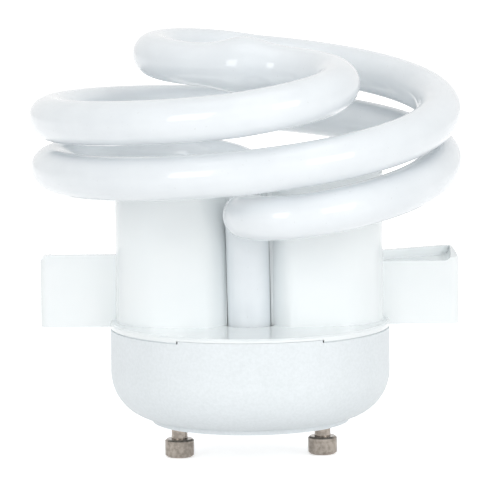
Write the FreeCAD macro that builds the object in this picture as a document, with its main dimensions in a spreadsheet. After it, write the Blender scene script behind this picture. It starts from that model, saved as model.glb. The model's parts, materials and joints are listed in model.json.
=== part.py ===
import FreeCAD, Part
import math
import os
import re
import Sketcher

# Compact spiral lamp with a two-pin twist-lock base, in millimetres.
# Z runs up the lamp's axis from the bottom face of the base disc. The front leg is on the -Y side.

doc = FreeCAD.newDocument("SpiralLamp")
sheet = doc.addObject("Spreadsheet::Sheet", "Sizes")

driving = {
    # Base cup
    "discRadius": 16.45,
    "discStep": 0.7,
    "cupRadius": 23.3,
    "cupCorner": 7.8,
    "cupWall": 1.6,
    "seamLevel": 15.7,
    "seamChamfer": 0.25,
    "ledgeLevel": 5.6,
    "ledgeWidth": 3.3,
    "lipHeight": 0.45,
    "lipHalfWidth": 11.8,
    "lipThickness": 1.4,
    # Pins
    "pinSpacing": 24.0,
    "pinTurn": 3.6,
    "pinLength": 6.0,
    "pinHeadRadius": 2.45,
    "pinHeadLength": 3.0,
    "pinNeckRadius": 1.35,
    "pinFit": 0.08,
    "pinBore": 0.6,
    "pinHeadChamfer": 0.3,
    "rivetRadius": 2.3,
    "rivetHeight": 0.8,
    # Cover: flange, tower and skirt
    "flangeHeight": 1.15,
    "flangeChamfer": 0.3,
    "coverWall": 1.4,
    "skirtClearance": 0.2,
    "skirtThickness": 1.2,
    "skirtDepth": 2.7,
    "notchReach": 5.1,
    "notchClearance": 0.05,
    "towerMargin": 1.0,
    "towerHalfDepth": 9.0,
    "towerTop": 42.0,
    "towerChamfer": 0.5,
    "channelClearance": 2.72,
    "channelRound": 3.5,
    "webThickness": 1.6,
    "socketRadius": 4.2,
    "socketWall": 1.2,
    "socketDepth": 3.7,
    # Finger wings
    "wingEnd": 35.0,
    "wingFront": 1.0,
    "wingRootDepth": 3.7,
    "wingEndDepth": 10.5,
    "wingHeight": 12.15,
    "wingFloor": 10.6,
    "wingLowCorner": 11.0,
    "wingWall": 1.2,
    "wingRound": 1.5,
    "wingScoop": 1.3,
    # Glass tube
    "tubeRadius": 3.58,
    "coilRadius": 32.2,
    "coilRise": 15.3,
    "coilGrowth": 3.3,
    "firstSideLevel": 43.4,
    "frontElbowDip": 1.2,
    "rearElbowDip": 2.8,
    "bridgeDrop": 2.1,
    "frontBridgeBulge": 0.7,
    "rearBridgeBulge": 1.55,
    "elbowRadius": 9.0,
    "kneeRadius": 7.0,
    "legOffset": 5.65,
    "legEnd": 11.2,
    "domeRadius": 4.6,
    "domeLift": 0.3,
    "leanForward": 4.0,
    "leanLeft": 0.8,
    "glassTurn": 0.9,
    "legTwist": 2.4,
    "cementBelow": 0.3,
    "filamentSpread": 1.2,
    "filamentGap": 0.35,
    # Circuit board and what stands on it
    "boardClearance": 1.2,
    "boardThickness": 1.6,
    "leadRadius": 0.3,
    "leadTail": 1.2,
    "headroom": 0.8,
    "mainsLeadRadius": 0.4,
    "leadFit": 0.1,
    "bulkClearance": 0.4,
    "bulkHeight": 25.0,
    "bulkShift": 0.35,
    "bulkVent": 0.4,
    "bulkPitch": 5.0,
    "coreClearance": 0.6,
    "coreWidth": 5.0,
    "coreHeight": 15.0,
    "coreLimbShare": 0.18,
    "coreCentreShare": 0.28,
    "bobbinWall": 0.8,
    "windingDepth": 2.4,
    "transistorWidth": 8.0,
    "transistorThickness": 3.0,
    "transistorPitch": 2.3,
    "transistorPlace": 9.2,
    "transistorRow": 12.5,
    "ringOuter": 4.3,
    "ringInner": 2.3,
    "ringHeight": 3.2,
    "ringRow": 14.4,
    "ringWire": 0.35,
    "filmLength": 11.6,
    "filmThickness": 5.0,
    "filmPitch": 9.0,
    "filmRow": 14.0,
    "capacitorBevel": 0.5,
    "startLength": 6.0,
    "startThickness": 2.8,
    "startHeight": 6.0,
    "startPitch": 4.6,
    "startPlace": 11.5,
    "startRow": 8.9,
    "diodeRadius": 1.25,
    "diodeLength": 3.6,
    "diodePlace": 10.5,
    "diodeGap": 3.0,
    "diodeRow": 12.7,
    "diodeRowGap": 4.8,
    "drumRadius": 4.0,
    "drumPitch": 3.2,
    "drumFlange": 1.2,
    "drumWaist": 2.0,
    "drumPlace": 10.6,
    "drumRow": 11.6,
    "fuseRadius": 1.3,
    "fuseLength": 6.0,
    "fusePlace": 12.4,
    "fuseRow": 9.0,
    "thermistorRadius": 2.6,
    "thermistorThickness": 2.0,
    "thermistorRow": 17.6,
}

derived = {
    "ledgeRadius": "cupRadius - cupWall - ledgeWidth",
    "skirtRadius": "cupRadius - cupWall - skirtClearance",
    "towerHalfLength": "cupRadius - towerMargin",
    "channelHalfWidth": "tubeRadius + channelClearance",
    "boardRadius": "cupRadius - cupWall - boardClearance",
    "boardTop": "ledgeLevel + boardThickness",
    "coverTop": "seamLevel + flangeHeight",
    "partHeight": "seamLevel - boardTop - headroom",
    "lobeLength": "towerHalfLength - channelHalfWidth - 2 * coverWall",
    "bulkRadius": "lobeLength / 2 - bulkClearance",
    "bulkPlace": "(towerHalfLength + channelHalfWidth) / 2 - bulkShift",
    "coreLength": "lobeLength - 2 * coreClearance",
    "coreLimb": "coreLength * coreLimbShare",
    "coreCentre": "coreLength * coreCentreShare",
    "pinX": "pinSpacing / 2 * cos(pinTurn * 1 deg)",
    "pinY": "pinSpacing / 2 * sin(pinTurn * 1 deg)",
}

for row, (alias, worthOf) in enumerate({**driving, **derived}.items(), 1):
    sheet.set(f"A{row}", alias)
    sheet.set(f"B{row}", f"={worthOf}")
    sheet.setAlias(f"B{row}", alias)
doc.recompute()


def mm(alias):
    """The sheet's number for one size."""
    return float(sheet.get(alias))


def linked(text):
    """An expression on the sheet, from an expression on bare size names."""
    names = "|".join([*driving, *derived])
    return re.sub(rf"\b({names})\b", r"Sizes.\1", text)


def worth(text):
    """The present value of an expression on bare size names."""
    return float(sheet.evalExpression(linked(text)))


def bind(thing, **expressions):
    """Ties properties to sizes. A double underscore stands for a dot in the property's path."""
    for path, text in expressions.items():
        thing.setExpression(path.replace("__", "."), linked(text))


def place(thing, x="0", y="0", z="0"):
    bind(thing, Placement__Base__x=x, Placement__Base__y=y, Placement__Base__z=z)


# Sketches and features

def newBody(label):
    body = doc.addObject("PartDesign::Body", label)
    body.Label = label
    return body


def newSketch(body, name, plane="XY_Plane", level="0"):
    sketch = body.newObject("Sketcher::SketchObject", name)
    support = [f for f in body.Origin.OriginFeatures if f.Role == plane][0]
    sketch.AttachmentSupport = [(support, "")]
    sketch.MapMode = "FlatFace"
    bind(sketch, AttachmentOffset__Base__z=level)
    return sketch


def pinPoint(sketch, shape, point, x, y):
    """Holds one point of a shape at two coordinates, each an expression."""
    for direction, text, axis in (("DistanceX", x, -2), ("DistanceY", y, -1)):
        if text == "0":
            sketch.addConstraint(Sketcher.Constraint("PointOnObject", shape, point, axis))
            continue
        number = sketch.addConstraint(Sketcher.Constraint(direction, -1, 1, shape, point, worth(text)))
        sketch.setExpression(f"Constraints[{number}]", linked(text))


def polygon(sketch, corners):
    """Closed outline through corners given as pairs of expressions."""
    first = sketch.GeometryCount
    count = len(corners)
    spots = [FreeCAD.Vector(worth(x), worth(y), 0) for x, y in corners]
    for i in range(count):
        sketch.addGeometry(Part.LineSegment(spots[i], spots[(i + 1) % count]), False)
    for i in range(count):
        after = first + (i + 1) % count
        sketch.addConstraint(Sketcher.Constraint("Coincident", first + i, 2, after, 1))
    for i, (x, y) in enumerate(corners):
        pinPoint(sketch, first + i, 1, x, y)


def circle(sketch, radius, x="0", y="0"):
    middle = FreeCAD.Vector(worth(x), worth(y), 0)
    shape = sketch.addGeometry(Part.Circle(middle, FreeCAD.Vector(0, 0, 1), worth(radius)), False)
    pinPoint(sketch, shape, 3, x, y)
    number = sketch.addConstraint(Sketcher.Constraint("Radius", shape, worth(radius)))
    sketch.setExpression(f"Constraints[{number}]", linked(radius))


def halfCircle(sketch, side, radius, centre):
    """Half circle that bulges away from the axis along X, with its centre held on X."""
    middle = FreeCAD.Vector(worth(centre), 0, 0)
    start = -math.pi / 2 if side > 0 else math.pi / 2
    whole = Part.Circle(middle, FreeCAD.Vector(0, 0, 1), worth(radius))
    shape = sketch.addGeometry(Part.ArcOfCircle(whole, start, start + math.pi), False)
    pinPoint(sketch, shape, 3, centre, "0")
    number = sketch.addConstraint(Sketcher.Constraint("Radius", shape, worth(radius)))
    sketch.setExpression(f"Constraints[{number}]", linked(radius))
    return shape


def straightLine(sketch, start, end):
    return sketch.addGeometry(Part.LineSegment(FreeCAD.Vector(*start), FreeCAD.Vector(*end)), False)


def roundEnd(sketch, side, radius, centre, flat):
    """D-shaped outline: a half circle about side x centre, closed by a flat at side x flat."""
    r, c, f = worth(radius) * side, worth(centre) * side, worth(flat) * side
    arc = halfCircle(sketch, side, radius, f"{side} * ({centre})")
    first = straightLine(sketch, (c, r, 0), (f, r, 0))
    second = straightLine(sketch, (f, r, 0), (f, -r, 0))
    third = straightLine(sketch, (f, -r, 0), (c, -r, 0))
    sketch.addConstraint(Sketcher.Constraint("Tangent", arc, 2, first, 1))
    sketch.addConstraint(Sketcher.Constraint("Tangent", third, 2, arc, 1))
    sketch.addConstraint(Sketcher.Constraint("Coincident", first, 2, second, 1))
    sketch.addConstraint(Sketcher.Constraint("Coincident", second, 2, third, 1))
    sketch.addConstraint(Sketcher.Constraint("Horizontal", first))
    sketch.addConstraint(Sketcher.Constraint("Horizontal", third))
    sketch.addConstraint(Sketcher.Constraint("Vertical", second))
    number = sketch.addConstraint(Sketcher.Constraint("DistanceX", -1, 1, second, 1, f))
    sketch.setExpression(f"Constraints[{number}]", linked(f"{side} * ({flat})"))


def feature(body, kind, name, sketch, length, back=False):
    """A pad or pocket of a sketch; back turns its direction round."""
    made = body.newObject(kind, name)
    made.Profile = sketch
    made.Reversed = back
    bind(made, Length=length)
    sketch.Visibility = False
    doc.recompute()
    return made


def pad(body, name, sketch, length, back=False):
    return feature(body, "PartDesign::Pad", name, sketch, length, back)


def pocket(body, name, sketch, length, back=False):
    made = feature(body, "PartDesign::Pocket", name, sketch, length, back)
    if made.Shape.Volume >= made.BaseFeature.Shape.Volume - 1e-6:
        raise ValueError(f"{name} cuts nothing")
    return made


def turned(body, name, corners):
    """Solid of revolution about Z from a half outline of (radius, level) corners."""
    sketch = newSketch(body, name + "Outline", "XZ_Plane")
    polygon(sketch, corners)
    made = body.newObject("PartDesign::Revolution", name)
    made.Profile = sketch
    made.ReferenceAxis = (sketch, ["V_Axis"])
    made.Angle = 360
    doc.recompute()
    return made


def dressed(body, kind, name, test, **expressions):
    """Fillet or chamfer on the edges of the body's tip that pass a test."""
    base = body.Tip
    picked = [f"Edge{i}" for i, edge in enumerate(base.Shape.Edges, 1) if test(edge)]
    made = body.newObject(kind, name)
    made.Base = (base, picked)
    bind(made, **expressions)
    doc.recompute()
    return made


def rounded(body, name, test, radius):
    return dressed(body, "PartDesign::Fillet", name, test, Radius=radius)


def chamfered(body, name, test, size):
    return dressed(body, "PartDesign::Chamfer", name, test, Size=size)


def levelEdge(edge, level, reach=0.0):
    """True for an edge that lies flat at a level and reaches out from the axis at least so far."""
    box = edge.BoundBox
    flat = abs(box.ZMax - level) < 1e-4 and abs(box.ZMin - level) < 1e-4
    far = max(math.hypot(v.X, v.Y) for v in edge.Vertexes)
    return flat and far > reach - 1e-4


# Primitives for the plainer pieces

def block(name, length, width, height, x, y, z):
    """Box centred on x and y, standing on z."""
    made = doc.addObject("Part::Box", name)
    bind(made, Length=length, Width=width, Height=height)
    place(made, f"{x} - ({length}) / 2", f"{y} - ({width}) / 2", z)
    return made


def rod(name, radius, height, x, y, z, axis=None):
    """Cylinder from a point, along Z or along a given axis."""
    made = doc.addObject("Part::Cylinder", name)
    if axis:
        made.Placement = FreeCAD.Placement(FreeCAD.Vector(), FreeCAD.Rotation(FreeCAD.Vector(0, 0, 1), axis))
    bind(made, Radius=radius, Height=height)
    place(made, x, y, z)
    return made


def joined(name, pieces):
    made = doc.addObject("Part::MultiFuse", name)
    made.Shapes = pieces
    return made


def lessTool(name, base, tool):
    made = doc.addObject("Part::Cut", name)
    made.Base = base
    made.Tool = tool
    return made


def group(name, pieces):
    """Several separate solids that share one node."""
    made = doc.addObject("Part::Compound", name)
    made.Links = pieces
    return made


finished = {}


def finish(label, thing):
    thing.Label = label
    finished[label] = thing
    return thing


drilled = []


def lead(name, x, y, top):
    """One component leg from its body down through the board, with its hole."""
    drilled.append((x, y, "leadRadius + leadFit"))
    return rod(name, "leadRadius", f"{top} - ledgeLevel + leadTail", x, y, "ledgeLevel - leadTail")


# Lower housing: cup with the base disc, two pin holes, a board ledge and a keyed rim

def lowerHousing():
    body = newBody("lower_housing")
    sketch = newSketch(body, "cupOutline", level="discStep")
    circle(sketch, "cupRadius")
    pad(body, "cup", sketch, "seamLevel - discStep")
    rounded(body, "cupCornerRound", lambda e: levelEdge(e, mm("discStep")), "cupCorner")
    chamfered(body, "rimChamfer", lambda e: levelEdge(e, mm("seamLevel")), "seamChamfer")
    sketch = newSketch(body, "discOutline")
    circle(sketch, "discRadius")
    pad(body, "disc", sketch, "discStep + cupWall")
    sketch = newSketch(body, "upperCavityOutline", level="seamLevel")
    circle(sketch, "cupRadius - cupWall")
    pocket(body, "upperCavity", sketch, "seamLevel - ledgeLevel")
    sketch = newSketch(body, "lowerCavityOutline", level="ledgeLevel")
    circle(sketch, "ledgeRadius")
    pocket(body, "lowerCavity", sketch, "ledgeLevel - discStep - cupWall")
    sketch = newSketch(body, "lipOutline", level="seamLevel - seamChamfer")
    circle(sketch, "cupRadius")
    circle(sketch, "cupRadius - lipThickness")
    pad(body, "lipRing", sketch, "lipHeight + seamChamfer")
    sketch = newSketch(body, "lipSides", level="seamLevel + lipHeight")
    beyond = "cupRadius * 1.5"
    for side in ("", "-1 * "):
        near, far = side + "lipHalfWidth", side + beyond
        polygon(sketch, [(near, "-1 * " + beyond), (far, "-1 * " + beyond), (far, beyond), (near, beyond)])
    pocket(body, "lipEnds", sketch, "lipHeight")
    sketch = newSketch(body, "pinHoleOutline")
    for side in ("", "-1 * "):
        circle(sketch, "pinNeckRadius + pinFit", side + "pinX", side + "pinY")
    pocket(body, "pinHoles", sketch, "discStep + cupWall", back=True)
    return finish("lower_housing", body)


# Base pins: turned, with a waisted neck and an inner rivet rim

def basePin(label, side):
    body = newBody(label)
    floor = "discStep + cupWall"
    turned(body, label + "Turning", [
        ("pinBore", "-1 * pinLength + pinHeadLength"),
        ("pinBore", f"{floor} + rivetHeight"),
        ("rivetRadius", f"{floor} + rivetHeight"),
        ("rivetRadius", floor),
        ("pinNeckRadius", floor),
        ("pinNeckRadius", "-1 * pinLength + pinHeadLength"),
        ("pinHeadRadius", "-1 * pinLength + pinHeadLength"),
        ("pinHeadRadius", "-1 * pinLength"),
        ("0", "-1 * pinLength"),
        ("0", "-1 * pinLength + pinHeadLength"),
    ])
    levels = (-mm("pinLength"), mm("pinHeadLength") - mm("pinLength"))
    headEdges = lambda e: any(levelEdge(e, level, mm("pinHeadRadius")) for level in levels)
    chamfered(body, label + "Edges", headEdges, "pinHeadChamfer")
    place(body, f"{side} * pinX", f"{side} * pinY")
    return finish(label, body)


# Upper housing: flange, skirt, obround tower with a channel for each leg, and two finger wings

def stadium(sketch, radius, centre):
    """Obround outline: half circles at plus and minus centre on X, joined by straight sides."""
    r, c = worth(radius), worth(centre)
    right = halfCircle(sketch, 1, radius, centre)
    left = halfCircle(sketch, -1, radius, f"-1 * ({centre})")
    upper = straightLine(sketch, (c, r, 0), (-c, r, 0))
    lower = straightLine(sketch, (-c, -r, 0), (c, -r, 0))
    for before, after in ((right, upper), (upper, left), (left, lower), (lower, right)):
        sketch.addConstraint(Sketcher.Constraint("Coincident", before, 2, after, 1))
    for arc in (right, left):
        for end in (1, 2):
            sketch.addConstraint(Sketcher.Constraint("Vertical", arc, 3, arc, end))


def wingOutline(sketch, side, root, front, end, rear):
    """A wing's footprint, straight in front and splayed behind, with an inset for each of its walls."""
    slant = "(wingEndDepth - wingRootDepth) / (wingEnd - towerHalfLength)"
    back = f"wingFront + wingRootDepth + {slant} * (%s - towerHalfLength) - ({rear}) * sqrt(1 + ({slant})^2)"
    outer = f"wingEnd - ({end})"
    corners = [(root, f"wingFront + {front}"), (outer, f"wingFront + {front}"),
               (outer, back % f"({outer})"), (root, back % f"({root})")]
    polygon(sketch, [(f"{side} * ({x})", y) for x, y in corners])


def wing(body, name, side):
    """Finger wing: a box open below, under a tray with one tall wall, an open side and a scooped end."""
    root = "towerHalfLength - coverWall / 2"
    top = "seamLevel + wingHeight"
    wall = "wingWall"
    sketch = newSketch(body, name + "Outline", level="seamLevel")
    wingOutline(sketch, side, root, "0", "0", "0")
    pad(body, name, sketch, "wingHeight")
    end, roof = side * mm("wingEnd"), worth(top)
    foot = mm("seamLevel")

    def outerCorner(edge):
        atEnd = len(edge.Vertexes) == 2 and all(abs(v.X - end) < 1e-4 for v in edge.Vertexes)
        return atEnd and not all(abs(v.Z - foot) < 1e-4 for v in edge.Vertexes)

    rounded(body, name + "Corners", outerCorner, "wingRound")
    sketch = newSketch(body, name + "TrayOutline", level=top)
    front, rear = (wall, "-1 * wingWall") if side < 0 else ("-1 * wingWall", wall)
    wingOutline(sketch, side, "towerHalfLength", front, wall, rear)
    pocket(body, name + "Tray", sketch, "wingHeight - wingFloor")
    inner, floor = side * (mm("wingEnd") - mm("wingWall")), mm("seamLevel") + mm("wingFloor")

    def trayEnd(edge):
        ends = edge.Vertexes
        return len(ends) == 2 and all(abs(v.X - inner) < 1e-4 and abs(v.Z - floor) < 1e-4 for v in ends)

    rounded(body, name + "Scoop", trayEnd, "wingScoop")
    level = "wingEnd + wingWall" if side > 0 else "-1 * (wingEnd - wingWall - wingScoop)"
    sketch = newSketch(body, name + "SlopeOutline", "YZ_Plane", level)
    tall, low = "wingFront + wingWall", "wingFront + wingEndDepth + wingWall"
    if side > 0:
        tall, low = "wingFront + wingEndDepth - 2 * wingWall", "wingFront - wingWall"
    polygon(sketch, [(tall, top), (low, "seamLevel + wingLowCorner"), (low, top + " + wingWall"),
                     (tall, top + " + wingWall")])
    pocket(body, name + "Slope", sketch, "2 * wingWall + wingScoop")
    sketch = newSketch(body, name + "HollowOutline", level="seamLevel")
    wingOutline(sketch, side, "cupRadius", wall, wall, wall)
    pocket(body, name + "Hollow", sketch, "wingFloor - wingWall", back=True)


def upperHousing():
    body = newBody("upper_housing")
    sketch = newSketch(body, "flangeOutline", level="seamLevel")
    circle(sketch, "cupRadius")
    pad(body, "flange", sketch, "flangeHeight")
    top = mm("seamLevel") + mm("flangeHeight")
    chamfered(body, "flangeEdge", lambda e: levelEdge(e, top), "flangeChamfer")
    chamfered(body, "seamEdge", lambda e: levelEdge(e, mm("seamLevel")), "seamChamfer")
    sketch = newSketch(body, "keyNotches", level="seamLevel")
    width = "(lipHalfWidth + skirtClearance)"
    for side in ("", "-1 * "):
        near = side + "(cupRadius - notchReach)"
        far = side + "(cupRadius + notchReach)"
        polygon(sketch, [("-1 * " + width, near), (width, near), (width, far), ("-1 * " + width, far)])
    pocket(body, "notches", sketch, "lipHeight + notchClearance", back=True)
    sketch = newSketch(body, "skirtOutline", level="seamLevel - skirtDepth")
    circle(sketch, "skirtRadius")
    circle(sketch, "skirtRadius - skirtThickness")
    pad(body, "skirt", sketch, "skirtDepth + lipHeight + 2 * notchClearance")

    sketch = newSketch(body, "towerOutline", level="seamLevel + flangeHeight / 2")
    stadium(sketch, "towerHalfDepth", "towerHalfLength - towerHalfDepth")
    pad(body, "tower", sketch, "towerTop - seamLevel - flangeHeight / 2")
    sketch = newSketch(body, "channelOutline", level="towerTop")
    for side in ("", "-1 * "):
        near = side + "webThickness / 2"
        far = side + "(2 * towerHalfDepth)"
        left, right = "-1 * channelHalfWidth", "channelHalfWidth"
        polygon(sketch, [(left, near), (right, near), (right, far), (left, far)])
    pocket(body, "channels", sketch, "towerTop - coverTop")
    web, half = mm("webThickness") / 2, mm("channelHalfWidth")

    def channelCorner(edge):
        ends = edge.Vertexes
        upright = len(ends) == 2 and abs(ends[0].Z - ends[1].Z) > 1
        return upright and all(abs(abs(v.Y) - web) < 1e-4 and abs(abs(v.X) - half) < 1e-4 for v in ends)

    rounded(body, "channelCorners", channelCorner, "channelRound")
    chamfered(body, "towerEdge", lambda e: levelEdge(e, mm("towerTop")), "towerChamfer")
    for name, side in (("wingLeft", -1), ("wingRight", 1)):
        wing(body, name, side)
    sketch = newSketch(body, "lobeCavities", level="seamLevel")
    for side in (1, -1):
        roundEnd(sketch, side, "towerHalfDepth - coverWall", "towerHalfLength - towerHalfDepth",
                 "channelHalfWidth + coverWall")
    pocket(body, "lobes", sketch, "towerTop - coverWall - seamLevel", back=True)
    sketch = newSketch(body, "socketOutline", level="seamLevel - socketDepth")
    for side in ("", "-1 * "):
        circle(sketch, "socketRadius + socketWall", y=side + "legOffset")
        circle(sketch, "socketRadius", y=side + "legOffset")
    pad(body, "sockets", sketch, "socketDepth + notchClearance")
    sketch = newSketch(body, "legHoleOutline", level="seamLevel - socketDepth")
    for side in ("", "-1 * "):
        circle(sketch, "socketRadius", y=side + "legOffset")
    pocket(body, "legHoles", sketch, "socketDepth + flangeHeight", back=True)
    return finish("upper_housing", body)


# Glass tube: one tube from leg to leg, two spiral arms that meet in an S across the top

def armPath(number):
    """Points and directions down one arm, from the top of its leg to the crossing on the axis."""
    radius = mm("coilRadius")
    elbow = mm("elbowRadius")
    reach = math.sqrt((radius - elbow) ** 2 - elbow ** 2)
    meet = math.atan2(elbow, reach)
    knee = mm("legOffset") + mm("kneeRadius")
    lobe = radius / 2
    straight = reach - knee
    sweep = elbow * (math.pi / 2 + meet)
    twist = math.radians(mm("legTwist"))
    side = straight + sweep + radius * (math.pi / 2 - meet)
    crossing = straight + sweep + radius * (2 * math.pi - meet - twist)
    length = crossing + math.pi * lobe
    arm = "front" if number == 1 else "rear"
    bulge, dip = mm(arm + "BridgeBulge"), mm(arm + "ElbowDip")

    def spot(run):
        if run < straight:
            x, y = 0.0, -knee - run
        elif run < straight + sweep:
            turn = (run - straight) / elbow - math.pi / 2
            x, y = elbow + elbow * math.sin(turn), -reach - elbow * math.cos(turn)
        elif run < crossing:
            turn = meet + (run - straight - sweep) / radius
            x, y = radius * math.sin(turn), -radius * math.cos(turn)
        else:
            turn = (run - crossing) / lobe
            across, out = lobe * math.sin(turn), lobe + lobe * math.cos(turn)
            x = across * math.cos(twist) - out * math.sin(twist)
            y = -out * math.cos(twist) - across * math.sin(twist)
        turns = (run - side) / (2 * math.pi * radius)
        z = mm("firstSideLevel") + mm("coilRise") * turns + mm("coilGrowth") * turns ** 2
        share = max(0.0, (run - crossing) / (length - crossing))
        z += bulge * math.sin(math.pi * share) - mm("bridgeDrop") * share ** 2 * (3 - 2 * share)
        z -= dip * max(0.0, 1 - run / side) ** 2
        return FreeCAD.Vector(x, y, z)

    def heading(run):
        step = 0.01
        return (spot(run + step) - spot(run - step)).normalize()

    stops = [0.0, straight]
    turning = straight + sweep
    for start, end, bend in ((straight, turning, elbow), (turning, crossing, radius), (crossing, length, lobe)):
        count = math.ceil(math.degrees((end - start) / bend) / longestArc)
        stops += [start + (end - start) * k / count for k in range(1, count + 1)]
    line = [(spot(run), heading(run)) for run in stops]
    level = heading(length)
    line[-1] = (line[-1][0], FreeCAD.Vector(level.x, level.y, 0).normalize())
    start = line[0][0]
    legTop = FreeCAD.Vector(0, -mm("legOffset"), start.z - mm("kneeRadius"))
    line.insert(0, (legTop, FreeCAD.Vector(0, 0, 1)))
    if number == 2:
        half = FreeCAD.Rotation(FreeCAD.Vector(0, 0, 1), 180)
        line = [(half.multVec(point), half.multVec(way)) for point, way in line]
    return line


def arcsBetween(first, second):
    """Two arcs that join two points smoothly. Each arc is its centre, axis and angle in degrees."""
    p, u = first
    q, w = second
    gap = q - p
    total = u + w
    a = 2 * (1 - u.dot(w))
    b = gap.dot(total)
    if a < 1e-9:
        length = gap.dot(gap) / (4 * gap.dot(w)) if abs(gap.dot(w)) > 1e-9 else gap.Length / 2
    else:
        length = (-b + math.sqrt(b * b + a * gap.dot(gap))) / a
    middle = (p + u * length + q - w * length) * 0.5
    arcs = []
    for start, way, end in ((p, u, middle), (middle, None, q)):
        chord = end - start
        if way is None:
            way = (q - w * length - (p + u * length)).normalize()
        axis = way.cross(chord)
        half = math.asin(min(1.0, axis.Length / chord.Length))
        axis = axis.normalize()
        radius = chord.Length / (2 * math.sin(half))
        centre = start + axis.cross(way) * radius
        arcs.append((centre, axis, math.degrees(2 * half)))
    return arcs


def glassTube():
    """Arcs of the centreline carry a circle along; each stretch is a ring's piece."""
    radius = mm("tubeRadius")
    there = armPath(1)
    back = [(point, way * -1) for point, way in reversed(armPath(2))]
    line = there + back[1:]
    legFoot = FreeCAD.Vector(0, -mm("legOffset"), mm("legEnd") + radius)
    rim = Part.Edge(Part.Circle(legFoot, FreeCAD.Vector(0, 0, 1), radius))
    diagonal = radius * math.sqrt(0.5)
    offsets = ((0, 0, -radius), (diagonal, 0, -diagonal), (radius, 0, 0))
    quarter = Part.Edge(Part.Arc(*[legFoot + FreeCAD.Vector(*offset) for offset in offsets]))
    faces = [quarter.revolve(legFoot, FreeCAD.Vector(0, 0, 1), 360)]
    rise = line[0][0] - legFoot
    faces.append(rim.extrude(rise))
    rim = rim.translated(rise)
    for first, second in zip(line, line[1:]):
        for centre, axis, angle in arcsBetween(first, second):
            faces.append(rim.revolve(centre, axis, angle))
            rim = rim.rotated(centre, axis, angle)
    drop = FreeCAD.Vector(0, 0, legFoot.z - line[-1][0].z)
    faces.append(rim.extrude(drop))
    rim = rim.translated(drop)
    foot = line[-1][0] + drop
    seam = rim.Vertexes[0].Point
    low = foot - FreeCAD.Vector(0, 0, radius)
    bend = foot + ((seam - foot) + (low - foot)).normalize() * radius
    quarter = Part.Edge(Part.Arc(low, bend, seam))
    faces.append(quarter.revolve(foot, FreeCAD.Vector(0, 0, 1), 360))
    shell = Part.Shell(faces)
    shell.sewShape()
    tube = Part.makeSolid(Part.Shell(shell.Faces))
    if tube.Volume < 0:
        tube.reverse()
    crossing = there[-1][0] + FreeCAD.Vector(0, 0, mm("domeLift"))
    made = doc.addObject("Part::Feature", "glass_tube")
    made.Shape = tube.fuse(Part.makeSphere(mm("domeRadius"), crossing))
    pivot = FreeCAD.Vector(0, 0, mm("coverTop"))
    spin = FreeCAD.Rotation(FreeCAD.Vector(0, 0, 1), -mm("glassTurn"))
    forward = FreeCAD.Rotation(FreeCAD.Vector(1, 0, 0), mm("leanForward"))
    aside = FreeCAD.Rotation(FreeCAD.Vector(0, 1, 0), -mm("leanLeft"))
    made.Placement = FreeCAD.Placement(FreeCAD.Vector(), forward * aside * spin, pivot)
    return finish("glass_tube", made)


def cement(label, side, glass):
    """Ring of cement between a leg and its socket."""
    ring = rod(label + "_fill", "socketRadius", "socketDepth + flangeHeight - 2 * cementBelow", "0",
               f"{side} * legOffset", "seamLevel - socketDepth + cementBelow")
    return finish(label, lessTool(label, ring, glass))


def filamentLeads(label, side):
    """Two wires from the foot of a leg down through the board."""
    wires = []
    for across in (-1, 1):
        x = f"{across} * filamentSpread"
        end = "a" if across < 0 else "b"
        wires.append(lead(f"{label}_{end}", x, f"{side} * legOffset", "legEnd - filamentGap"))
    return finish(label, group(label, wires))


# Ballast: the parts that stand on the board

def mainsLead(label, side):
    x, y = f"{side} * pinX", f"{side} * pinY"
    drilled.append((x, y, "mainsLeadRadius + leadFit"))
    low = "pinHeadLength - pinLength + leadFit"
    return finish(label, rod(label, "mainsLeadRadius", f"boardTop - leadFit - ({low})", x, y, low))


def bulkCapacitor():
    """Upright can in the left lobe, with a rolled groove near its foot and a vent cross on top."""
    body = newBody("bulk_capacitor")
    groove = "bulkRadius / 3"
    inner = "bulkRadius - bulkVent"
    turned(body, "bulkCan", [
        ("0", "0"), (inner, "0"), ("bulkRadius", "bulkVent"), ("bulkRadius", f"{groove} - bulkVent"),
        (inner, groove), ("bulkRadius", f"{groove} + bulkVent"), ("bulkRadius", "bulkHeight - bulkVent"),
        (inner, "bulkHeight"), ("0", "bulkHeight")])
    sketch = newSketch(body, "ventOutline", level="bulkHeight")
    x, y = "bulkRadius / 2", "bulkVent / 2"
    polygon(sketch, [("-1 * " + x, "-1 * " + y), (x, "-1 * " + y), (x, y), ("-1 * " + x, y)])
    pocket(body, "vent", sketch, "bulkVent")
    place(body, "-1 * bulkPlace", "0", "boardTop")
    for row, side in (("front", -1), ("rear", 1)):
        leads.append(lead(f"bulkLead_{row}", "-1 * bulkPlace", f"{side} * bulkPitch / 2", "boardTop"))
    return finish("bulk_capacitor", body)


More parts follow.
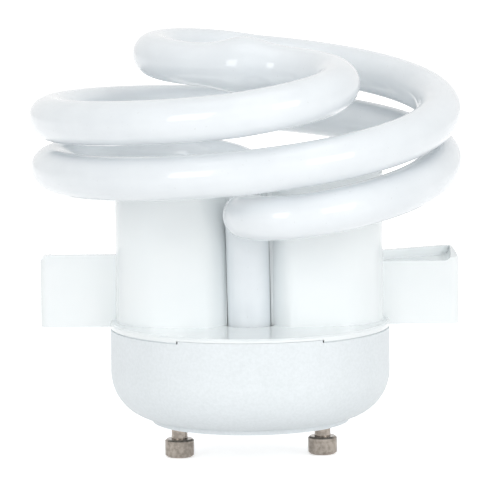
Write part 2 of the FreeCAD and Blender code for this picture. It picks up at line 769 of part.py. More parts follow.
def inductor():
    """Ballast inductor in the right lobe: ferrite frame, bobbin and winding on its middle limb."""
    low, inside = "boardTop + coreLimb", "coreHeight - 2 * coreLimb"
    wide, deep = "coreLength - 2 * coreLimb", "coreWidth + 2 * windingDepth"

    def centred(name, length, width, height, z):
        return block(name, length, width, height, "bulkPlace", "0", z)

    frame = centred("inductorFrame", "coreLength", "coreWidth", "coreHeight", "boardTop")
    window = centred("inductorWindow", wide, "2 * coreWidth", inside, low)
    limb = centred("inductorLimb", "coreCentre", "coreWidth", inside, low)
    finish("inductor_core", joined("inductor_core", [lessTool("inductorRing", frame, window), limb]))
    sleeve = ("coreCentre + 2 * bobbinWall", "coreWidth + 2 * bobbinWall", inside, low)
    solid = joined("bobbinSolid", [
        centred("bobbinPost", *sleeve),
        centred("bobbinFoot", wide, deep, "bobbinWall", low),
        centred("bobbinHead", wide, deep, "bobbinWall", f"{low} + {inside} - bobbinWall")])
    hole = centred("bobbinHole", "coreCentre", "coreWidth", inside, low)
    finish("inductor_bobbin", lessTool("inductor_bobbin", solid, hole))
    tall = f"{inside} - 2 * bobbinWall"
    coil = centred("windingBlock", wide, f"{deep} - bobbinWall", tall, f"{low} + bobbinWall")
    finish("inductor_winding", lessTool("inductor_winding", coil, centred("windingHole", *sleeve)))
    for across in (-1, 1):
        x = f"bulkPlace + {across} * coreCentre"
        leads.append(lead(f"inductorLead_{across + 1}", x, "0", "boardTop"))


def driveRing():
    """Small drive transformer: a ferrite ring with turns of wire through it."""
    ring = rod("ringDisc", "ringOuter", "ringHeight", "0", "-1 * ringRow", "boardTop + 2 * ringWire")
    hole = rod("ringHole", "ringInner", "3 * ringHeight", "0", "-1 * ringRow", "boardTop - ringHeight")
    finish("drive_ring_core", lessTool("drive_ring_core", ring, hole))
    turns = []
    for count in range(ringTurns):
        angle = 360.0 * count / ringTurns
        wall, x = "ringOuter - ringInner + 2 * leadFit", "(ringOuter + ringInner) / 2"
        long, tall = f"{wall} + 4 * ringWire", "ringHeight + 4 * ringWire"
        outer = block(f"ringTurn_{count}", long, "2 * ringWire", tall, x, "0", "0")
        inner = block(f"ringTurnGap_{count}", wall, "4 * ringWire", "ringHeight", x, "0", "2 * ringWire")
        turn = lessTool(f"ringLoop_{count}", outer, inner)
        turning = FreeCAD.Rotation(FreeCAD.Vector(0, 0, 1), angle)
        turn.Placement = FreeCAD.Placement(FreeCAD.Vector(), turning)
        place(turn, "0", "-1 * ringRow", "boardTop")
        turns.append(turn)
    finish("drive_ring_winding", group("drive_ring_winding", turns))


def transistor(label, side):
    """Flat power transistor standing on its leads, with a screw hole near its top."""
    x, y = f"{side} * transistorPlace", "-1 * transistorRow"
    body = block(label + "_body", "transistorWidth", "transistorThickness", "partHeight", x, y, "boardTop")
    hole = rod(label + "_hole", "transistorThickness / 2", "3 * transistorThickness", x,
               f"{y} + 1.5 * transistorThickness", "boardTop + partHeight - transistorThickness",
               FreeCAD.Vector(0, -1, 0))
    for across in (-1, 0, 1):
        leads.append(lead(f"{label}_lead_{across + 1}", f"{x} + {across} * transistorPitch", y, "boardTop"))
    return finish(label, lessTool(label, body, hole))


def boxCapacitor(label, size, height, x, y):
    """Film capacitor: a box with bevelled top edges on two leads. Its sizes share a first word."""
    body = doc.addObject("Part::Chamfer", label)
    body.Base = block(label + "_box", f"{size}Length", f"{size}Thickness", height, x, y, "boardTop")
    doc.recompute()
    shape, bevel = body.Base.Shape, mm("capacitorBevel")
    upper = [i for i, edge in enumerate(shape.Edges, 1) if edge.BoundBox.ZMax > shape.BoundBox.ZMax - 1e-4]
    body.Edges = [(i, bevel, bevel) for i in upper]
    for across in (-1, 1):
        leads.append(lead(f"{label}_lead_{across + 1}", f"{x} + {across} * {size}Pitch / 2", y, "boardTop"))
    return finish(label, body)


def lyingPart(name, radius, length, x, y, along):
    """A cylinder lying on the board along X or Y, centred on a spot."""
    way = FreeCAD.Vector(1, 0, 0) if along == "x" else FreeCAD.Vector(0, 1, 0)
    startX = f"{x} - ({length}) / 2" if along == "x" else x
    startY = f"{y} - ({length}) / 2" if along == "y" else y
    return rod(name, radius, length, startX, startY, f"boardTop + {radius}", way)


def rectifier():
    diodes = []
    for row in (-1, 1):
        for column in (-1, 1):
            x = f"-1 * diodePlace + {column} * diodeGap / 2"
            y = f"diodeRow + {row} * diodeRowGap / 2"
            name = f"diode_{row + 1}_{column + 1}"
            diodes.append(lyingPart(name, "diodeRadius", "diodeLength", x, y, "y"))
    return finish("rectifier_diodes", group("rectifier_diodes", diodes))


def lineChoke():
    """Drum core standing on the board, wound between its two flanges."""
    body = newBody("line_choke_core")
    turned(body, "drum", [
        ("0", "0"), ("drumRadius", "0"), ("drumRadius", "drumFlange"), ("drumWaist", "drumFlange"),
        ("drumWaist", "partHeight - drumFlange"), ("drumRadius", "partHeight - drumFlange"),
        ("drumRadius", "partHeight"), ("0", "partHeight")])
    x, y = "drumPlace", "drumRow"
    place(body, x, y, "boardTop")
    finish("line_choke_core", body)
    between = "partHeight - 2 * drumFlange"
    outer = rod("drumWireOuter", "drumRadius - leadRadius", between, x, y, "boardTop + drumFlange")
    inner = rod("drumWireInner", "drumWaist", "partHeight", x, y, "boardTop")
    finish("line_choke_winding", lessTool("line_choke_winding", outer, inner))
    for across in (-1, 1):
        leads.append(lead(f"drumLead_{across + 1}", f"{x} + {across} * drumPitch / 2", y, "boardTop"))


def fuse():
    body = lyingPart("fuse_resistor", "fuseRadius", "fuseLength", "fusePlace", "-1 * fuseRow", "x")
    return finish("fuse_resistor", body)


def thermistor():
    front = "thermistorRow - thermistorThickness / 2"
    disc = rod("thermistor", "thermistorRadius", "thermistorThickness", "0", front, "boardTop + thermistorRadius",
               FreeCAD.Vector(0, 1, 0))
    return finish("thermistor", disc)


def circuitBoard():
    """Round board with a hole for every lead that goes through it."""
    disc = rod("boardDisc", "boardRadius", "boardThickness", "0", "0", "ledgeLevel")
    holes = [rod(f"boardHole_{i}", radius, "3 * boardThickness", x, y, "ledgeLevel - boardThickness")
             for i, (x, y, radius) in enumerate(drilled)]
    return finish("circuit_board", lessTool("circuit_board", disc, joined("boardHoles", holes)))


ringTurns = 10
longestArc = 26  # degrees of the tube's bend that one pair of arcs follows
leads = []


def build():
    lowerHousing()
    basePin("base_pin_left", -1)
    basePin("base_pin_right", 1)
    upperHousing()
    glass = glassTube()
    for name, side in (("front", -1), ("rear", 1)):
        cement(f"tube_cement_{name}", side, glass)
        filamentLeads(f"filament_leads_{name}", side)
    mainsLead("mains_lead_left", -1)
    mainsLead("mains_lead_right", 1)
    bulkCapacitor()
    inductor()
    driveRing()
    transistor("transistor_left", -1)
    transistor("transistor_right", 1)
    boxCapacitor("tube_capacitor", "film", "partHeight", "0", "filmRow")
    boxCapacitor("start_capacitor", "start", "startHeight", "-1 * startPlace", "-1 * startRow")
    rectifier()
    lineChoke()
    fuse()
    thermistor()
    finish("component_leads", group("component_leads", leads))
    circuitBoard()


build()
doc.recompute()
for thing in doc.Objects:
    if any(word in thing.State for word in ("Invalid", "Error")):
        raise ValueError(f"{thing.Label} failed: {thing.State}")
for label, thing in finished.items():
    if thing.Shape.isNull() or not thing.Shape.isValid() or not thing.Shape.Solids:
        raise ValueError(f"{label} has no sound shape")

os.makedirs("parts", exist_ok=True)
for label, thing in finished.items():
    thing.Shape.exportStep(f"parts/{label}.step")
    print(f"{label}: {len(thing.Shape.Solids)} solids, {thing.Shape.Volume:.1f} mm3")
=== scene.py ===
import json
import math

import bmesh
import bpy
from mathutils import Matrix, Vector


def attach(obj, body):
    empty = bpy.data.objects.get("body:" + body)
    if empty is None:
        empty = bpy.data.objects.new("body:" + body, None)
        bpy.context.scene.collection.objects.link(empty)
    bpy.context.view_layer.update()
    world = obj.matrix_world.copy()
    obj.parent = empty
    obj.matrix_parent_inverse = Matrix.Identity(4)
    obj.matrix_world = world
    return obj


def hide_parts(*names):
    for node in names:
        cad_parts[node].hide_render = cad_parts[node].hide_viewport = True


mm = 0.001

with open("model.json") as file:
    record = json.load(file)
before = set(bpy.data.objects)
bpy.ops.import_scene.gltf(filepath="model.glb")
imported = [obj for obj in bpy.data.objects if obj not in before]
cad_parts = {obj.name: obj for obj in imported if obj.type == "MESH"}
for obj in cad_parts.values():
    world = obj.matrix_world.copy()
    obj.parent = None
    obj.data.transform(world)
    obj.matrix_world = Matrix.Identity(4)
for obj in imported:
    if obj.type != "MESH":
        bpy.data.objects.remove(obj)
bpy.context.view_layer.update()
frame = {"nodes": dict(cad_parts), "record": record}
scene = bpy.context.scene
print("frame loaded:", len(frame["nodes"]), "nodes")


def added(name, data):  # a new object in the scene
    made = bpy.data.objects.new(name, data)
    scene.collection.objects.link(made)
    return made


def bake(host):  # what the modifiers make of the host becomes its plain mesh
    bpy.context.view_layer.update()
    shape = host.evaluated_get(bpy.context.evaluated_depsgraph_get())
    mesh = bpy.data.meshes.new_from_object(shape)
    host.modifiers.clear()
    host.data = mesh


class Value:  # a socket that takes part in sums
    def __init__(self, graph, socket):
        self.graph = graph
        self.socket = socket

    def sum(self, operation, *others):
        return self.graph.sum(operation, self, *others)

    def __add__(self, other):
        return self.graph.sum("ADD", self, other)

    def __radd__(self, other):
        return self.graph.sum("ADD", other, self)

    def __sub__(self, other):
        return self.graph.sum("SUBTRACT", self, other)

    def __rsub__(self, other):
        return self.graph.sum("SUBTRACT", other, self)

    def __mul__(self, other):
        return self.graph.sum("MULTIPLY", self, other)

    def __rmul__(self, other):
        return self.graph.sum("MULTIPLY", other, self)

    def __truediv__(self, other):
        return self.graph.sum("DIVIDE", self, other)

    def __rtruediv__(self, other):
        return self.graph.sum("DIVIDE", other, self)

    def __pow__(self, other):
        return self.graph.sum("POWER", self, other)

    def __neg__(self):
        return self.graph.sum("MULTIPLY", self, -1.0)

    def __gt__(self, other):
        return self.graph.sum("GREATER_THAN", self, other)

    def __lt__(self, other):
        return self.graph.sum("LESS_THAN", self, other)

    def out(self, name):  # another output of the same node
        return Value(self.graph, self.socket.node.outputs[name])


class Graph:
    def __init__(self, tree):
        self.tree = tree

    def add(self, kind, inputs=None, settings=None, output=0):
        node = self.tree.nodes.new(kind)
        for name, setting in (settings or {}).items():
            setattr(node, name, setting)
        for name, value in (inputs or {}).items():
            if isinstance(value, Value):
                self.tree.links.new(value.socket, node.inputs[name])
            else:
                node.inputs[name].default_value = value
        return None if output is None else Value(self, node.outputs[output])

    def sum(self, operation, *values):
        return self.add("ShaderNodeMath", dict(enumerate(values)), {"operation": operation})


class Finish(Graph):  # one material: its tree, coordinates and shader
    noiseRoughness = 0.55
    patchEdges = (0.35, 0.65)  # where patches of noise fade in and are full
    driftEdges = (0.3, 0.7)  # the noise between the lowest and the highest roughness

    def __init__(self, name, **constants):
        self.material = bpy.data.materials.new(name)
        self.material.use_nodes = True
        super().__init__(self.material.node_tree)
        self.shader = self.tree.nodes["Principled BSDF"]
        for socket, value in constants.items():
            self.shader.inputs[socket.replace("_", " ")].default_value = value
        self.place = self.add("ShaderNodeTexCoord").out("Object")

    def feed(self, socket, value):
        self.tree.links.new(value.socket, self.shader.inputs[socket])

    def noise(self, grain, detail=3.0, stretch=(1, 1, 1)):  # grain is a size in metres
        place = self.add("ShaderNodeMapping", {"Vector": self.place, "Scale": stretch})
        field = {"Vector": place, "Scale": 1 / grain, "Detail": detail, "Roughness": self.noiseRoughness}
        return self.add("ShaderNodeTexNoise", field)

    def colour(self, value):
        return value if isinstance(value, Value) else (*value, 1.0)

    def blend(self, share, first, second):
        colours = {0: share, 6: self.colour(first), 7: self.colour(second)}
        return self.add("ShaderNodeMix", colours, {"data_type": "RGBA"}, output=2)

    def spread(self, value, low, high, toLow=0.0, toHigh=1.0):
        ends = {"Value": value, "From Min": low, "From Max": high, "To Min": toLow, "To Max": toHigh}
        return self.add("ShaderNodeMapRange", ends)

    def patches(self, grain, detail=3.0):
        return self.spread(self.noise(grain, detail), *self.patchEdges)

    def uneven(self, grain, rough, stretch=(1, 1, 1)):  # rough holds the lowest and highest roughness
        self.feed("Roughness", self.spread(self.noise(grain, stretch=stretch), *self.driftEdges, *rough))

    def bumps(self, height, depth, strength=1.0):  # depth in metres
        bump = {"Height": height, "Distance": depth, "Strength": strength}
        self.feed("Normal", self.add("ShaderNodeBump", bump))

    def parts(self):
        return self.add("ShaderNodeSeparateXYZ", {"Vector": self.place})


def coatedGlass():
    look = {
        "white": (0.81, 0.85, 0.878),
        "thin": (0.77, 0.81, 0.84),
        "thinPatch": 9 * mm,
        "speck": (0.64, 0.67, 0.67),
        "speckSize": 0.5 * mm,
        "speckEdges": (0.70, 0.76),
        "speckShare": 0.5,
        "rough": (0.42, 0.58),
        "roughPatch": 2 * mm,
        "wave": 6 * mm,
        "waveDepth": 0.03 * mm,
        "waveStrength": 0.6,
    }
    f = Finish("coated_glass", Coat_Weight=1.0, Coat_Roughness=0.015, Coat_IOR=1.5, Specular_IOR_Level=0.3)
    coating = f.blend(f.patches(look["thinPatch"]), look["white"], look["thin"])
    specks = f.spread(f.noise(look["speckSize"], detail=2), *look["speckEdges"])
    f.feed("Base Color", f.blend(specks * look["speckShare"], coating, look["speck"]))
    f.uneven(look["roughPatch"], look["rough"])
    f.bumps(f.noise(look["wave"], detail=1), look["waveDepth"], look["waveStrength"])
    return f.material


def matteWhite():
    look = {
        "white": (0.815, 0.86, 0.885),
        "shade": (0.755, 0.80, 0.82),
        "grain": 0.5 * mm,
        "grainShare": 0.7,
        "patch": 7 * mm,
        "patchShare": 0.3,
        "rough": (0.42, 0.6),
        "roughPatch": 0.3 * mm,
        "texture": 0.16 * mm,
        "textureDepth": 0.03 * mm,
        "textureStrength": 0.5,
    }
    f = Finish("matte_white")
    grain = f.patches(look["grain"], detail=4) * look["grainShare"]
    mottle = grain + f.patches(look["patch"]) * look["patchShare"]
    f.feed("Base Color", f.blend(mottle, look["white"], look["shade"]))
    f.uneven(look["roughPatch"], look["rough"])
    f.bumps(f.noise(look["texture"], detail=2), look["textureDepth"], look["textureStrength"])
    return f.material


def glossWhite():
    look = {
        "white": (0.885, 0.92, 0.925),
        "shade": (0.86, 0.90, 0.91),
        "patch": 12 * mm,
        "rough": (0.06, 0.12),
        "streak": 1.5 * mm,
        "streakStretch": (1, 1, 0.3),
        "wave": 2.5 * mm,
        "waveDepth": 0.01 * mm,
        "waveStrength": 0.5,
    }
    f = Finish("gloss_white")
    f.feed("Base Color", f.blend(f.patches(look["patch"]), look["white"], look["shade"]))
    f.uneven(look["streak"], look["rough"], look["streakStretch"])
    f.bumps(f.noise(look["wave"], detail=2), look["waveDepth"], look["waveStrength"])
    return f.material


def nickel():
    look = {
        "plate": (0.35, 0.31, 0.272),
        "worn": (0.235, 0.205, 0.178),
        "wear": 0.8 * mm,
        "wearEdges": (0.4, 0.62),
        "rough": (0.08, 0.2),
        "roughPatch": 0.6 * mm,
        "groove": 0.22 * mm,
        "grooveShare": 0.3,
        "dent": 0.3 * mm,
        "dentShare": 0.7,
        "depth": 0.005 * mm,
        "strength": 0.6,
    }
    pins = {"spacing": 24 * mm, "turn": math.radians(3.6)}
    f = Finish("nickel", Metallic=1.0)
    x = f.parts()
    y, z = x.out("Y"), x.out("Z")
    side = x.sum("SIGN")
    dx = side * x - pins["spacing"] / 2 * math.cos(pins["turn"])
    dy = side * y - pins["spacing"] / 2 * math.sin(pins["turn"])
    fromAxis = (dx ** 2 + dy ** 2).sum("SQRT")
    lathe = ((fromAxis + z) * (2 * math.pi / look["groove"])).sum("SINE")
    wear = f.spread(f.noise(look["wear"]), *look["wearEdges"])
    f.feed("Base Color", f.blend(wear, look["plate"], look["worn"]))
    f.uneven(look["roughPatch"], look["rough"])
    height = lathe * look["grooveShare"] + f.noise(look["dent"], detail=1) * look["dentShare"]
    f.bumps(height, look["depth"], look["strength"])
    return f.material


def boardLaminate():
    look = {
        "bare": (0.42, 0.30, 0.12),
        "fibre": (0.52, 0.40, 0.20),
        "thread": 0.4 * mm,
        "threadDepth": 0.01 * mm,
        "track": (0.20, 0.32, 0.12),
        "trackSize": 5 * mm,
        "trackEdges": (0.53, 0.54),
        "trackShare": 0.8,
        "rough": 0.55,
    }
    f = Finish("board", Roughness=look["rough"])
    warp = f.noise(look["thread"], stretch=(1, 6, 1))
    weft = f.noise(look["thread"], stretch=(6, 1, 1))
    weave = warp * 0.5 + weft * 0.5
    tracks = f.spread(f.noise(look["trackSize"], detail=0), *look["trackEdges"])
    laminate = f.blend(weave, look["bare"], look["fibre"])
    f.feed("Base Color", f.blend(tracks * look["trackShare"], laminate, look["track"]))
    f.bumps(weave, look["threadDepth"])
    return f.material


innerLooks = {  # two colours, the size of the grain, the roughness and the depth of the bumps
    "cement": {
        "colours": ((0.78, 0.78, 0.75), (0.66, 0.66, 0.63)),
        "grain": 0.5 * mm, "rough": 0.9, "depth": 0.05 * mm,
    },
    "tinned_wire": {
        "colours": ((0.72, 0.72, 0.72), (0.60, 0.60, 0.60)),
        "grain": 0.4 * mm, "rough": 0.3, "depth": 0.005 * mm, "metallic": 1.0,
    },
    "capacitor_sleeve": {
        "colours": ((0.03, 0.04, 0.07), (0.05, 0.06, 0.10)),
        "grain": 3 * mm, "rough": 0.3, "depth": 0.01 * mm,
    },
    "ferrite": {
        "colours": ((0.06, 0.06, 0.065), (0.11, 0.11, 0.12)),
        "grain": 0.3 * mm, "rough": 0.5, "depth": 0.02 * mm,
    },
    "bobbin": {
        "colours": ((0.05, 0.05, 0.05), (0.08, 0.08, 0.08)),
        "grain": 1 * mm, "rough": 0.5, "depth": 0.01 * mm,
    },
    "copper": {
        "colours": ((0.62, 0.26, 0.10), (0.45, 0.16, 0.06)),
        "grain": 1 * mm, "rough": 0.3, "depth": 0.08 * mm, "metallic": 0.9, "wirePitch": 0.7 * mm,
    },
    "epoxy": {
        "colours": ((0.03, 0.03, 0.03), (0.06, 0.06, 0.06)),
        "grain": 0.2 * mm, "rough": 0.6, "depth": 0.01 * mm,
    },
    "film_case": {
        "colours": ((0.55, 0.10, 0.04), (0.42, 0.07, 0.03)),
        "grain": 2 * mm, "rough": 0.25, "depth": 0.02 * mm,
    },
}


def grained(name, colours, grain, rough, depth, metallic=0.0, wirePitch=None):
    drift = 0.06
    f = Finish(name, Metallic=metallic)
    pattern = f.spread(f.noise(grain), *f.driftEdges)
    height = pattern
    if wirePitch:  # wire laid in turns along z
        height = (f.parts().out("Z") * (2 * math.pi / wirePitch)).sum("SINE").sum("ABSOLUTE")
    f.feed("Base Color", f.blend(pattern, *colours))
    f.feed("Roughness", f.spread(pattern, 0.0, 1.0, rough - drift, rough + drift))
    f.bumps(height, depth)
    return f.material


finishes = {
    "matte_white": matteWhite(),
    "gloss_white": glossWhite(),
    "nickel": nickel(),
    "coated_glass": coatedGlass(),
    "board": boardLaminate(),
}
for name, look in innerLooks.items():
    finishes[name] = grained(name, **look)

for part in frame["record"]["subparts"]:
    node = frame["nodes"][part["node"]]
    node.data.materials.clear()
    node.data.materials.append(finishes[part["material_slot"]])
print("finishes on", len(frame["nodes"]), "nodes")


tube = {
    "Tube Radius": 3.58 * mm,
    "Coil Radius": 32.2 * mm,
    "Coil Rise": 15.3 * mm,
    "Coil Growth": 3.3 * mm,
    "First Side Level": 43.4 * mm,
    "Leg Twist": math.radians(2.4),
    "Front Elbow Dip": 1.2 * mm,
    "Rear Elbow Dip": 2.8 * mm,
    "Elbow Radius": 9 * mm,
    "Knee Radius": 7 * mm,
    "Leg Offset": 5.65 * mm,
    "Leg End": 11.2 * mm,
    "Front Bridge Bulge": 0.7 * mm,
    "Rear Bridge Bulge": 1.55 * mm,
    "Bridge Drop": 2.1 * mm,
    "Swell": 0.34,
    "Swell Reach": 4.2 * mm,
    "Steps": 900,
    "Sides": 48,
}
tubePose = {"pivot": 16.85 * mm, "forward": 4.0, "left": 0.8, "turn": 0.9}


def tubeTree(sizes):
    tree = bpy.data.node_groups.new("coiled tube", "GeometryNodeTree")
    tree.interface.new_socket("Mesh", in_out="OUTPUT", socket_type="NodeSocketGeometry")
    for name, value in sizes.items():
        kind = "NodeSocketInt" if isinstance(value, int) else "NodeSocketFloat"
        tree.interface.new_socket(name, in_out="INPUT", socket_type=kind).default_value = value
    tree.interface.new_socket("Material", in_out="INPUT", socket_type="NodeSocketMaterial")
    g = Graph(tree)
    given = g.add("NodeGroupInput")
    radius, elbow, knee = given.out("Coil Radius"), given.out("Elbow Radius"), given.out("Knee Radius")
    legAt, growth = given.out("Leg Offset"), given.out("Coil Growth")

    # plan: leg, knee, straight run, elbow, one turn, then the half circle to the axis
    reach = ((radius - elbow) ** 2 - elbow ** 2).sum("SQRT")
    meet = elbow.sum("ARCTAN2", reach)
    lobe = radius / 2
    kneeAt = legAt + knee
    straightEnd = reach - kneeAt
    elbowEnd = straightEnd + elbow * (meet + math.pi / 2)
    side = elbowEnd + radius * (math.pi / 2 - meet)
    twist = given.out("Leg Twist")
    coilEnd = elbowEnd + radius * (2 * math.pi - meet - twist)
    armEnd = coilEnd + lobe * math.pi
    kneeLength = knee * (math.pi / 2)

    def level(run, bulge, dip):  # height of the path, the knee and the leg aside
        turns = (run - side) / (radius * (2 * math.pi))
        share = ((run - coilEnd) / (armEnd - coilEnd)).sum("MAXIMUM", 0.0)
        bridge = (share * math.pi).sum("SINE") * bulge
        bridge = bridge - given.out("Bridge Drop") * share ** 2 * (3 - 2 * share)
        bridge = bridge - dip * ((side - run) / side).sum("MAXIMUM", 0.0) ** 2
        climb = given.out("First Side Level") + given.out("Coil Rise") * turns
        return climb + growth * turns * turns + bridge

    legLength = {}
    for which in ("Front", "Rear"):
        dip = given.out(which + " Elbow Dip")
        legLength[which] = level(0 - kneeLength, 0.0, dip) - knee - given.out("Leg End")
    share = g.add("GeometryNodeInputIndex") * 2.0 / (given.out("Steps") - 1) - 1
    whole = armEnd + kneeLength + legLength["Rear"] + (legLength["Front"] - legLength["Rear"]) * (share > 0)
    along = share * whole
    hand = (along > 0) * 2 - 1  # in plan each arm is the other turned half round
    run = armEnd - along.sum("ABSOLUTE")

    onLobe = run > coilEnd
    onCoil = (run > elbowEnd) * (1 - onLobe)
    onElbow = (run > straightEnd) * (run < elbowEnd)
    onStraight = (run > 0) * (run < straightEnd)
    onKnee = (run < 0) * (run > 0 - kneeLength)
    onLeg = run < 0 - kneeLength

    lobeTurn = (run - coilEnd) / lobe
    coilTurn = meet + (run - elbowEnd) / radius
    elbowTurn = (run - straightEnd) / elbow - math.pi / 2
    kneeTurn = ((run + kneeLength) / knee).sum("MAXIMUM", 0.0)
    across, out = lobe * lobeTurn.sum("SINE"), lobe * (1 + lobeTurn.sum("COSINE"))
    tilt, keep = twist.sum("SINE"), twist.sum("COSINE")
    x = onLobe * (across * keep - out * tilt) + onCoil * radius * coilTurn.sum("SINE")
    x = x + onElbow * elbow * (1 + elbowTurn.sum("SINE"))
    y = onLobe * (out * keep + across * tilt) + onCoil * radius * coilTurn.sum("COSINE")
    y = y + onElbow * (reach + elbow * elbowTurn.sum("COSINE")) + onStraight * (kneeAt + run)
    y = y + onKnee * (kneeAt - knee * kneeTurn.sum("COSINE")) + onLeg * legAt

    def byArm(size):
        front, rear = given.out("Front " + size), given.out("Rear " + size)
        return rear + (front - rear) * (along > 0)

    low = run.sum("MAXIMUM", 0 - kneeLength)
    z = level(low, byArm("Bridge Bulge"), byArm("Elbow Dip"))
    z = z - onKnee * knee * (1 - kneeTurn.sum("SINE")) - onLeg * (knee + low - run)

    # the bulge that closes the crossing
    swell = 1 + given.out("Swell") * (0 - (along / given.out("Swell Reach")) ** 2).sum("EXPONENT")
    line = g.add("GeometryNodeMeshLine", {"Count": given.out("Steps")}, {"mode": "OFFSET"})
    path = g.add("GeometryNodeMeshToCurve", {"Mesh": line})
    spot = g.add("ShaderNodeCombineXYZ", {"X": x * hand, "Y": 0 - y * hand, "Z": z})
    path = g.add("GeometryNodeSetPosition", {"Geometry": path, "Position": spot})
    circle = {"Resolution": given.out("Sides"), "Radius": given.out("Tube Radius")}
    ring = g.add("GeometryNodeCurvePrimitiveCircle", circle)
    sweep = {"Curve": path, "Profile Curve": ring, "Scale": swell, "Fill Caps": True}
    skin = g.add("GeometryNodeCurveToMesh", sweep)
    skin = g.add("GeometryNodeSetShadeSmooth", {"Geometry": skin})
    skin = g.add("GeometryNodeSetMaterial", {"Geometry": skin, "Material": given.out("Material")})
    g.add("NodeGroupOutput", {0: skin}, output=None)
    return tree


def grown(name, tree, sizes, material):  # a plain mesh from a tree and the sizes given to it
    host = added(name, bpy.data.meshes.new(name))
    modifier = host.modifiers.new(name, "NODES")
    modifier.node_group = tree
    for socket in tree.interface.items_tree:
        if socket.in_out == "INPUT" and socket.name in sizes:
            modifier[socket.identifier] = sizes[socket.name]
        elif socket.name == "Material":
            modifier[socket.identifier] = material
    bake(host)
    return host


def glassPose():  # how the tube leans and turns on the cover
    pivot = Matrix.Translation((0, 0, tubePose["pivot"]))
    turned = Matrix.Rotation(math.radians(tubePose["forward"]), 4, "X")
    turned = turned @ Matrix.Rotation(math.radians(-tubePose["left"]), 4, "Y")
    turned = turned @ Matrix.Rotation(math.radians(-tubePose["turn"]), 4, "Z")
    return pivot @ turned @ pivot.inverted()


def glassTube():
    made = grown("spiral_tube", tubeTree(tube), tube, finishes["coated_glass"])
    made.data.transform(glassPose())
    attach(made, "root")
    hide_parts("glass_tube")
    print("glass tube:", len(made.data.polygons), "faces")


glassTube()


tower = {  # the cover's upright part, whose aprons make the face fuller and the leg's recess shallow
    "foot": 16.75 * mm,
    "top": 42.03 * mm,
    "halfLength": 22.33 * mm,
    "endRadius": 9.03 * mm,
    "halfDepth": 10.6 * mm,
    "skin": 0.08 * mm,  # thickness of the apron at its ends
    "skinFrom": -25,  # degrees, where the apron starts on the round end
    "mouthLeft": 8.8 * mm,  # from the middle to the edge of the recess
    "mouthRight": 7.8 * mm,
    "lip": 3.9 * mm,  # from the middle to the recess's bottom, beside the leg
    "lipDepth": 6.2 * mm,  # from the lamp's middle plane to that bottom
    "roundness": 1.3,  # a larger one keeps the edge of the recess fuller
    "channelHalf": 6.25 * mm,  # the CAD's channel, which the apron fills up to the recess
    "webFace": 0.85 * mm,
    "slotRadius": 3.64 * mm,  # the leg's own slot through the apron
    "slotReach": 18 * mm,
    "slotMargin": 5 * mm,
    "legOffset": 5.65 * mm,
    "arcSteps": 20,
    "mouthSteps": 16,
    "slotSteps": 32,
    "creaseAngle": 35,
}


def arc(centre, radius, start, end, count):
    turns = [math.radians(start + (end - start) * i / count) for i in range(count + 1)]
    return [(centre[0] + radius * math.cos(t), centre[1] + radius * math.sin(t)) for t in turns]


def apronOutline():
    end, deep, steps = tower["endRadius"], tower["halfDepth"], tower["arcSteps"]
    middle = tower["halfLength"] - end
    face = (middle ** 2 + deep ** 2 - end ** 2) / (2 * (deep - end))  # radius of the arc across the face
    lean = math.degrees(math.atan2(middle, face - deep))
    inner = end - tower["skin"]

    def lobe(mouth):  # from the lobe's end to the edge of the leg's mouth
        start = math.degrees(math.asin(mouth / face))
        edge = face - deep - math.sqrt(face ** 2 - mouth ** 2)
        outside = arc((middle, 0), end, tower["skinFrom"], lean - 90, steps)
        outside += arc((0, face - deep), face, lean - 90, start - 90, steps)[1:]
        for i in range(1, tower["mouthSteps"] + 1):
            share = i / tower["mouthSteps"]
            fall = math.cos(share ** tower["roundness"] * math.pi / 2)
            x = mouth + (tower["lip"] - mouth) * share
            outside.append((x, -tower["lipDepth"] + (edge + tower["lipDepth"]) * fall))
        return outside

    def inside():
        channel = [(tower["channelHalf"], -tower["webFace"]), (tower["channelHalf"], -inner)]
        return channel + arc((middle, 0), inner, -90, tower["skinFrom"], steps)

    def mirrored(points):
        return [(-x, y) for x, y in points[::-1]]

    return lobe(tower["mouthRight"]) + mirrored(lobe(tower["mouthLeft"])) + mirrored(inside()) + inside()


def prism(name, outline, low, high):
    mesh = bpy.data.meshes.new(name)
    made = added(name, mesh)
    form = bmesh.new()
    base = form.faces.new([form.verts.new((x, y, low)) for x, y in outline])
    raised = bmesh.ops.extrude_face_region(form, geom=[base])["geom"]
    corners = [part for part in raised if isinstance(part, bmesh.types.BMVert)]
    bmesh.ops.translate(form, verts=corners, vec=(0, 0, high - low))
    bmesh.ops.recalc_face_normals(form, faces=form.faces)
    form.to_mesh(mesh)
    form.free()
    return made


def cutOut(base, tool):
    cut = base.modifiers.new("cut", "BOOLEAN")
    cut.operation = "DIFFERENCE"
    cut.solver = "EXACT"
    cut.object = tool
    bake(base)
    bpy.data.objects.remove(tool)


def legSlot():  # round inside, open to the front, and longer than the apron at both ends
    wide, out, past = tower["slotRadius"], -tower["legOffset"], tower["slotMargin"]
    back = out - tower["slotReach"]
    outline = arc((0, out), wide, 0, 180, tower["slotSteps"]) + [(-wide, back), (wide, back)]
    return prism("slot", outline, tower["foot"] - past, tower["top"] + past)


def coverApron(name, turn):
    turned = Matrix.Rotation(math.radians(turn), 4, "Z")
    made = prism(name, apronOutline(), tower["foot"], tower["top"])
    made.data.transform(turned)
    tool = legSlot()
    tool.data.transform(glassPose() @ turned)
    cutOut(made, tool)
    made.data.shade_smooth()
    made.data.set_sharp_from_angle(angle=math.radians(tower["creaseAngle"]))
    made.data.materials.append(finishes["gloss_white"])
    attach(made, "root")
    print(name + ":", len(made.data.polygons), "faces")


coverApron("cover_apron_front", 0)
coverApron("cover_apron_rear", 180)


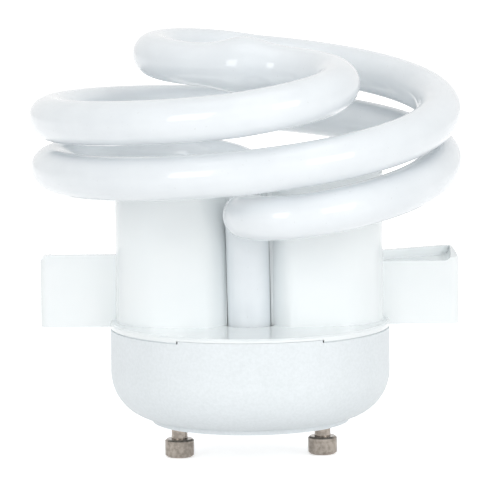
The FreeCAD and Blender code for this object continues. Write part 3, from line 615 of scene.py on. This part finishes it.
studio = {
    "floorDrop": 6.1 * mm,  # just under the pins' heads
    "floorSize": 3.0,
    "white": (1.0, 1.0, 1.0, 1.0),
    "paper": (0.92, 0.92, 0.92, 1.0),
    "glow": 0.62,  # lifts the paper to white for the camera
    "ambient": 0.685,
    "leftBox": {"azimuth": -31, "elevation": 17, "distance": 0.60, "size": (0.22, 0.26), "watts": 0.64},
    "rightBox": {"azimuth": 42, "elevation": 17, "distance": 0.60, "size": (0.26, 0.26), "watts": 0.76},
    "topBox": {"azimuth": 0, "elevation": 80, "distance": 0.60, "size": (0.5, 0.4), "watts": 0.42},
    "fillBox": {"azimuth": 3, "elevation": 22, "distance": 1.30, "size": (1.2, 0.8), "watts": 0.75},
}
shot = {
    "aim": Vector((0, 0, 30 * mm)),
    "azimuth": 0,
    "elevation": 6.98,
    "distance": 0.700,
    "pixelsPerMm": 6.002,  # at the aim
    "picture": 500,
    "aimAt": (249.12, 241.34),  # where the aim stands in the picture, in pixels
    "roll": -0.59,
    "sensor": 36.0,
}


def aimed(name, data, view, roll=0.0):  # an object that looks at the aim from a view's side
    a, e = math.radians(view["azimuth"]), math.radians(view["elevation"])
    away = Vector((math.sin(a) * math.cos(e), -math.cos(a) * math.cos(e), math.sin(e))) * view["distance"]
    made = added(name, data)
    made.location = shot["aim"] + away
    made.rotation_mode = "QUATERNION"
    rolled = Matrix.Rotation(math.radians(roll), 4, "Z").to_quaternion()
    made.rotation_quaternion = (-away).to_track_quat("-Z", "Y") @ rolled
    return made


def camera():
    data = bpy.data.cameras.new("camera")
    data.sensor_width = shot["sensor"]
    data.lens = shot["pixelsPerMm"] * shot["distance"] / mm / shot["picture"] * shot["sensor"]
    data.shift_x = (shot["picture"] / 2 - shot["aimAt"][0]) / shot["picture"]
    data.shift_y = (shot["aimAt"][1] - shot["picture"] / 2) / shot["picture"]
    scene.camera = aimed("camera", data, shot, shot["roll"])


def softbox(name, box):
    data = bpy.data.lights.new(name, "AREA")
    data.shape = "RECTANGLE"
    data.size, data.size_y = box["size"]
    data.energy = box["watts"]
    aimed(name, data, box)


def emptied(owner):  # the graph of a material or a world, with its first nodes cleared
    owner.use_nodes = True
    owner.node_tree.nodes.clear()
    return Graph(owner.node_tree)


def seenWhite(g, shown, lit):  # the camera and reflections see one shader, the light gets the other
    rays = g.add("ShaderNodeLightPath")
    seen = rays.out("Is Camera Ray").sum("MAXIMUM", rays.out("Is Glossy Ray"))
    seen = seen.sum("MAXIMUM", rays.out("Is Transmission Ray"))
    return g.add("ShaderNodeMixShader", {0: seen, 1: lit, 2: shown})


def floor():
    size = studio["floorSize"]
    mesh = bpy.data.meshes.new("floor")
    corners = [(-size, -size), (size, -size), (size, size), (-size, size)]
    mesh.from_pydata([(x, y, -studio["floorDrop"]) for x, y in corners], [], [(0, 1, 2, 3)])
    made = added("floor", mesh)
    material = bpy.data.materials.new("floor")
    g = emptied(material)
    paper = g.add("ShaderNodeBsdfDiffuse", {"Color": studio["paper"]})
    glow = g.add("ShaderNodeEmission", {"Color": studio["white"], "Strength": studio["glow"]})
    shown = g.add("ShaderNodeAddShader", {0: paper, 1: glow})
    g.add("ShaderNodeOutputMaterial", {"Surface": seenWhite(g, shown, paper)}, output=None)
    mesh.materials.append(material)


def surroundings():
    world = bpy.data.worlds.new("studio")
    g = emptied(world)
    shown = g.add("ShaderNodeBackground", {"Color": studio["white"], "Strength": 1.0})
    lit = g.add("ShaderNodeBackground", {"Color": studio["white"], "Strength": studio["ambient"]})
    g.add("ShaderNodeOutputWorld", {"Surface": seenWhite(g, shown, lit)}, output=None)
    scene.world = world


camera()
for name in ("leftBox", "rightBox", "topBox", "fillBox"):
    softbox(name, studio[name])
floor()
surroundings()
scene.view_settings.view_transform = "Standard"
print("studio ready")
